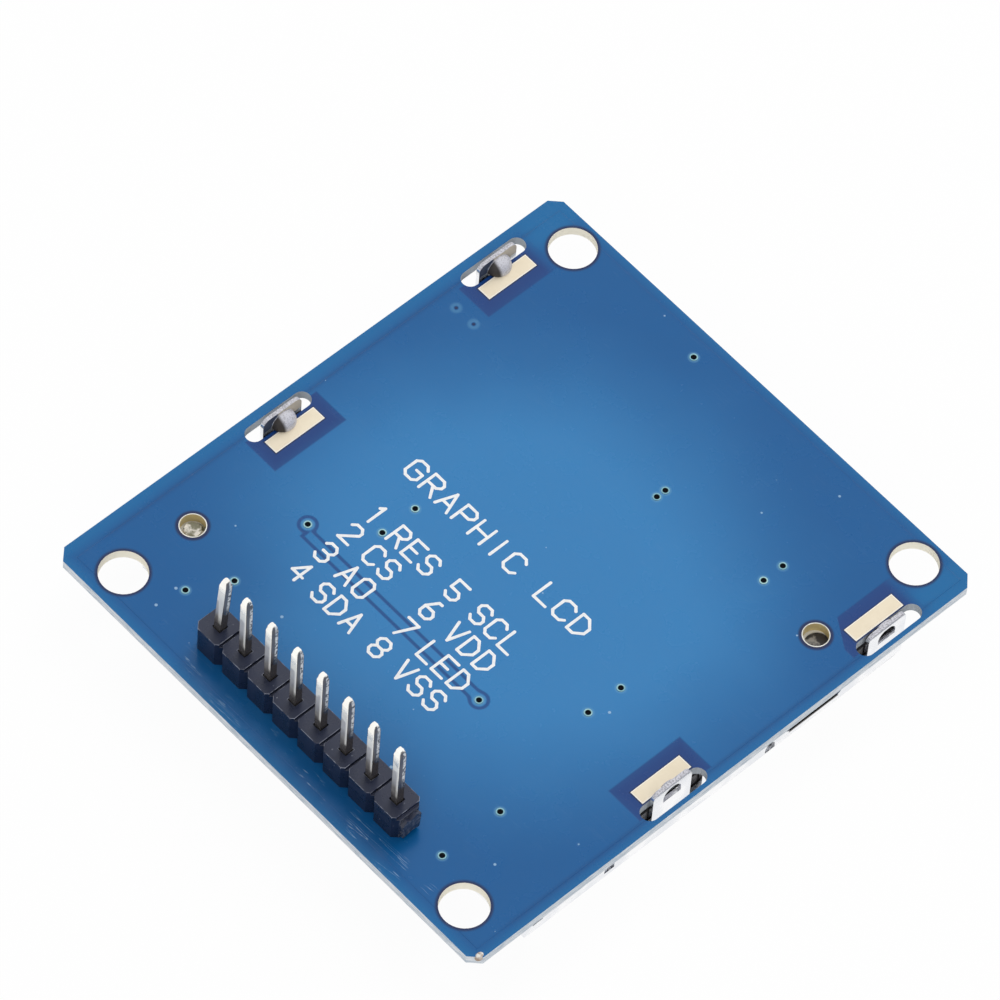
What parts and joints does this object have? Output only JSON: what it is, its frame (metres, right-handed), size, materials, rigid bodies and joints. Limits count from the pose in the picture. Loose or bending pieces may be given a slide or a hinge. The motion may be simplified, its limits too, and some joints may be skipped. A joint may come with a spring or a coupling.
{
  "type": "graphic lcd module",
  "caption": "Small graphic liquid crystal display in a folded steel bezel, clipped by tabs to a blue circuit board with corner mounting holes and a pin header on its back.",
  "frame": {"origin": "under the middle of the board, in the plane of the bezel's front face, on which the module lies", "axes": "+X along the header's row, +Y across the board away from the header, +Z out of the board's back"},
  "size_m": [0.0424, 0.046, 0.0138],
  "materials": {
    "solder_mask": "satin blue solder mask over copper",
    "tinned_copper": "bright tinned copper",
    "pad_tin": "matt tinned pad",
    "gold_plating": "thin gold plating",
    "bezel_steel": "bright rolled sheet",
    "polarizer": "grey-green display film",
    "glass": "clear display glass",
    "white_film": "matt white film",
    "light_guide_plastic": "milky moulded plastic",
    "silicon": "dark bare chip",
    "elastomer": "striped silicone rubber",
    "resistor_body": "black chip body with tinned ends",
    "capacitor_body": "tan chip body with tinned ends",
    "header_plastic": "matt black moulded plastic",
    "led_resin": "yellow-white resin",
    "pin_tin": "bright tinned brass",
    "solder": "bright solder"
  },
  "bodies": {
    "root": {"pcb": "solder_mask", "via_plating": "tinned_copper", "peg_hole_plating": "tinned_copper", "tab_pads": "pad_tin", "contact_pads": "gold_plating", "lcd_bezel": "bezel_steel", "front_polarizer": "polarizer", "rear_polarizer": "polarizer", "front_glass": "glass", "rear_glass": "glass", "diffuser_film": "white_film", "reflector_film": "white_film", "light_guide": "light_guide_plastic", "driver_chip": "silicon", "elastomer_connector": "elastomer", "led_resistor": "resistor_body", "display_capacitor": "capacitor_body", "header_housing": "header_plastic", "led_1": "led_resin", "led_2": "led_resin", "led_3": "led_resin", "led_4": "led_resin", "pin_1": "pin_tin", "pin_2": "pin_tin", "pin_3": "pin_tin", "pin_4": "pin_tin", "pin_5": "pin_tin", "pin_6": "pin_tin", "pin_7": "pin_tin", "pin_8": "pin_tin", "solder_1": "solder", "solder_2": "solder", "solder_3": "solder", "solder_4": "solder", "solder_5": "solder", "solder_6": "solder", "solder_7": "solder", "solder_8": "solder"}
  },
  "joints": []
}
